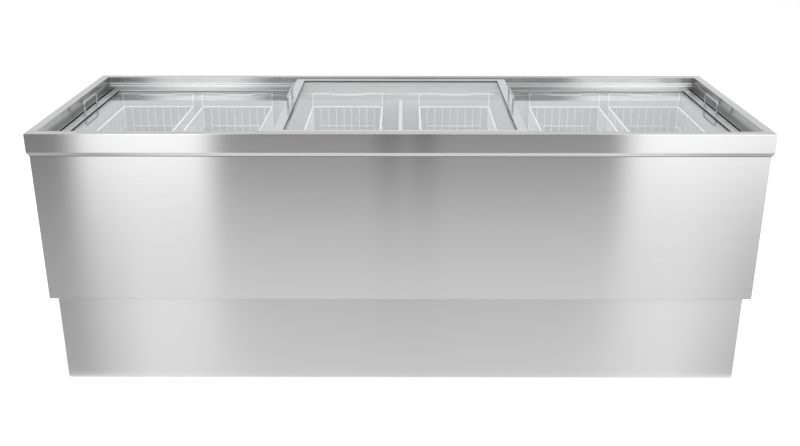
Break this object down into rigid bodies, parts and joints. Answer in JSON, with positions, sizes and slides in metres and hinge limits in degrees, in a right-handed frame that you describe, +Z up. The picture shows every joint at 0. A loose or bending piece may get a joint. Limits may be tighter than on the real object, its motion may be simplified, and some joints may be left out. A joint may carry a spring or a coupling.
{
  "type": "chest freezer",
  "caption": "Long stainless chest freezer with sliding framed glass lids on stepped tracks, wire pulls, hanging wire baskets and a cooling machine in the plinth.",
  "frame": {"origin": "on the floor, below the middle of the cabinet", "axes": "+X along the length to the right as seen from the front, +Y from the front to the back, +Z up"},
  "size_m": [2.1, 0.76, 0.822],
  "materials": {
    "stainless_steel": "horizontally brushed stainless sheet",
    "track_aluminium": "satin anodised extrusion",
    "frame_aluminium": "satin anodised extrusion",
    "lid_glass": "clear toughened glass",
    "black_rubber": "matte black rubber",
    "nylon": "smooth white nylon",
    "chrome_wire": "polished chrome plate",
    "white_coated_wire": "white plastic-coated wire",
    "white_liner": "white stoved enamel sheet",
    "white_plastic": "moulded white plastic",
    "foam": "cast rigid foam",
    "copper": "bare copper tube",
    "galvanised_steel": "zinc-plated sheet",
    "black_enamel": "gloss black enamel",
    "condenser_aluminium": "bare fin stock",
    "black_plastic": "moulded black plastic"
  },
  "bodies": {
    "cabinet": {"rim_front": "stainless_steel", "rim_back": "stainless_steel", "rim_left": "stainless_steel", "rim_right": "stainless_steel", "front_rail": "track_aluminium", "back_rail": "track_aluminium", "left_end_rail": "track_aluminium", "right_end_rail": "track_aluminium", "end_seals": "black_rubber", "tub_liner": "white_liner", "breaker_strip": "white_plastic", "tub_divider": "white_plastic", "insulation": "foam", "evaporator_coil": "copper", "front_panel": "stainless_steel", "back_panel": "stainless_steel", "left_panel": "stainless_steel", "right_panel": "stainless_steel", "floor_plate": "galvanised_steel", "plinth_front": "stainless_steel", "plinth_back": "stainless_steel", "plinth_left": "stainless_steel", "plinth_right": "stainless_steel", "panel_screws": "chrome_wire", "base_frame": "galvanised_steel", "levelling_feet": "black_plastic", "compressor": "black_enamel", "compressor_mounts": "black_rubber", "condenser": "condenser_aluminium", "fan_cowl": "black_plastic", "fan_motor": "black_enamel", "refrigerant_pipes": "copper", "control_housing": "black_plastic", "mains_inlet": "black_plastic", "drain_pipe": "white_plastic"},
    "left_lid": {"left_lid_frame": "frame_aluminium", "left_lid_glass": "lid_glass", "left_lid_seal": "black_rubber", "left_lid_glides": "nylon", "left_lid_handle": "chrome_wire"},
    "middle_lid": {"middle_lid_frame": "frame_aluminium", "middle_lid_glass": "lid_glass", "middle_lid_seal": "black_rubber", "middle_lid_glides": "nylon", "middle_lid_handles": "chrome_wire"},
    "right_lid": {"right_lid_frame": "frame_aluminium", "right_lid_glass": "lid_glass", "right_lid_seal": "black_rubber", "right_lid_glides": "nylon", "right_lid_handle": "chrome_wire"},
    "basket_1": {"basket_1": "white_coated_wire"},
    "basket_2": {"basket_2": "white_coated_wire"},
    "basket_3": {"basket_3": "white_coated_wire"},
    "basket_4": {"basket_4": "white_coated_wire"},
    "basket_5": {"basket_5": "white_coated_wire"},
    "basket_6": {"basket_6": "white_coated_wire"},
    "fan_blade": {"fan_blade": "black_plastic"},
    "thermostat_knob": {"thermostat_knob": "black_plastic"},
    "rocker_switch": {"rocker_switch": "black_plastic"},
    "drain_plug": {"drain_plug": "white_plastic"}
  },
  "joints": [
    {"name": "left_lid_slide", "type": "slide", "parent": "cabinet", "child": "left_lid", "axis": [1, 0, 0], "range_m": [0, 0.63]},
    {"name": "middle_lid_slide", "type": "slide", "parent": "cabinet", "child": "middle_lid", "axis": [1, 0, 0], "range_m": [-0.63, 0.63]},
    {"name": "right_lid_slide", "type": "slide", "parent": "cabinet", "child": "right_lid", "axis": [1, 0, 0], "range_m": [-0.63, 0]},
    {"name": "basket_1_slide", "type": "slide", "parent": "cabinet", "child": "basket_1", "axis": [1, 0, 0], "range_m": [-0.01, 0.025]},
    {"name": "basket_2_slide", "type": "slide", "parent": "cabinet", "child": "basket_2", "axis": [1, 0, 0], "range_m": [-0.025, 0.125]},
    {"name": "basket_3_slide", "type": "slide", "parent": "cabinet", "child": "basket_3", "axis": [1, 0, 0], "range_m": [-0.125, 0.05]},
    {"name": "basket_4_slide", "type": "slide", "parent": "cabinet", "child": "basket_4", "axis": [1, 0, 0], "range_m": [-0.05, 0.125]},
    {"name": "basket_5_slide", "type": "slide", "parent": "cabinet", "child": "basket_5", "axis": [1, 0, 0], "range_m": [-0.125, 0.025]},
    {"name": "basket_6_slide", "type": "slide", "parent": "cabinet", "child": "basket_6", "axis": [1, 0, 0], "range_m": [-0.025, 0.01]},
    {"name": "fan_spin", "type": "hinge", "parent": "cabinet", "child": "fan_blade", "pos_m": [0.921, 0.05, 0.136], "axis": [1, 0, 0], "continuous": true},
    {"name": "thermostat_turn", "type": "hinge", "parent": "cabinet", "child": "thermostat_knob", "pos_m": [1.0285, -0.213, 0.19], "axis": [1, 0, 0], "range_deg": [0, 270]},
    {"name": "rocker_tip", "type": "hinge", "parent": "cabinet", "child": "rocker_switch", "pos_m": [1.024, -0.263, 0.19], "axis": [0, 1, 0], "range_deg": [-8, 8]},
    {"name": "drain_plug_lift", "type": "slide", "parent": "cabinet", "child": "drain_plug", "axis": [0, 0, 1], "range_m": [0, 0.025]}
  ]
}
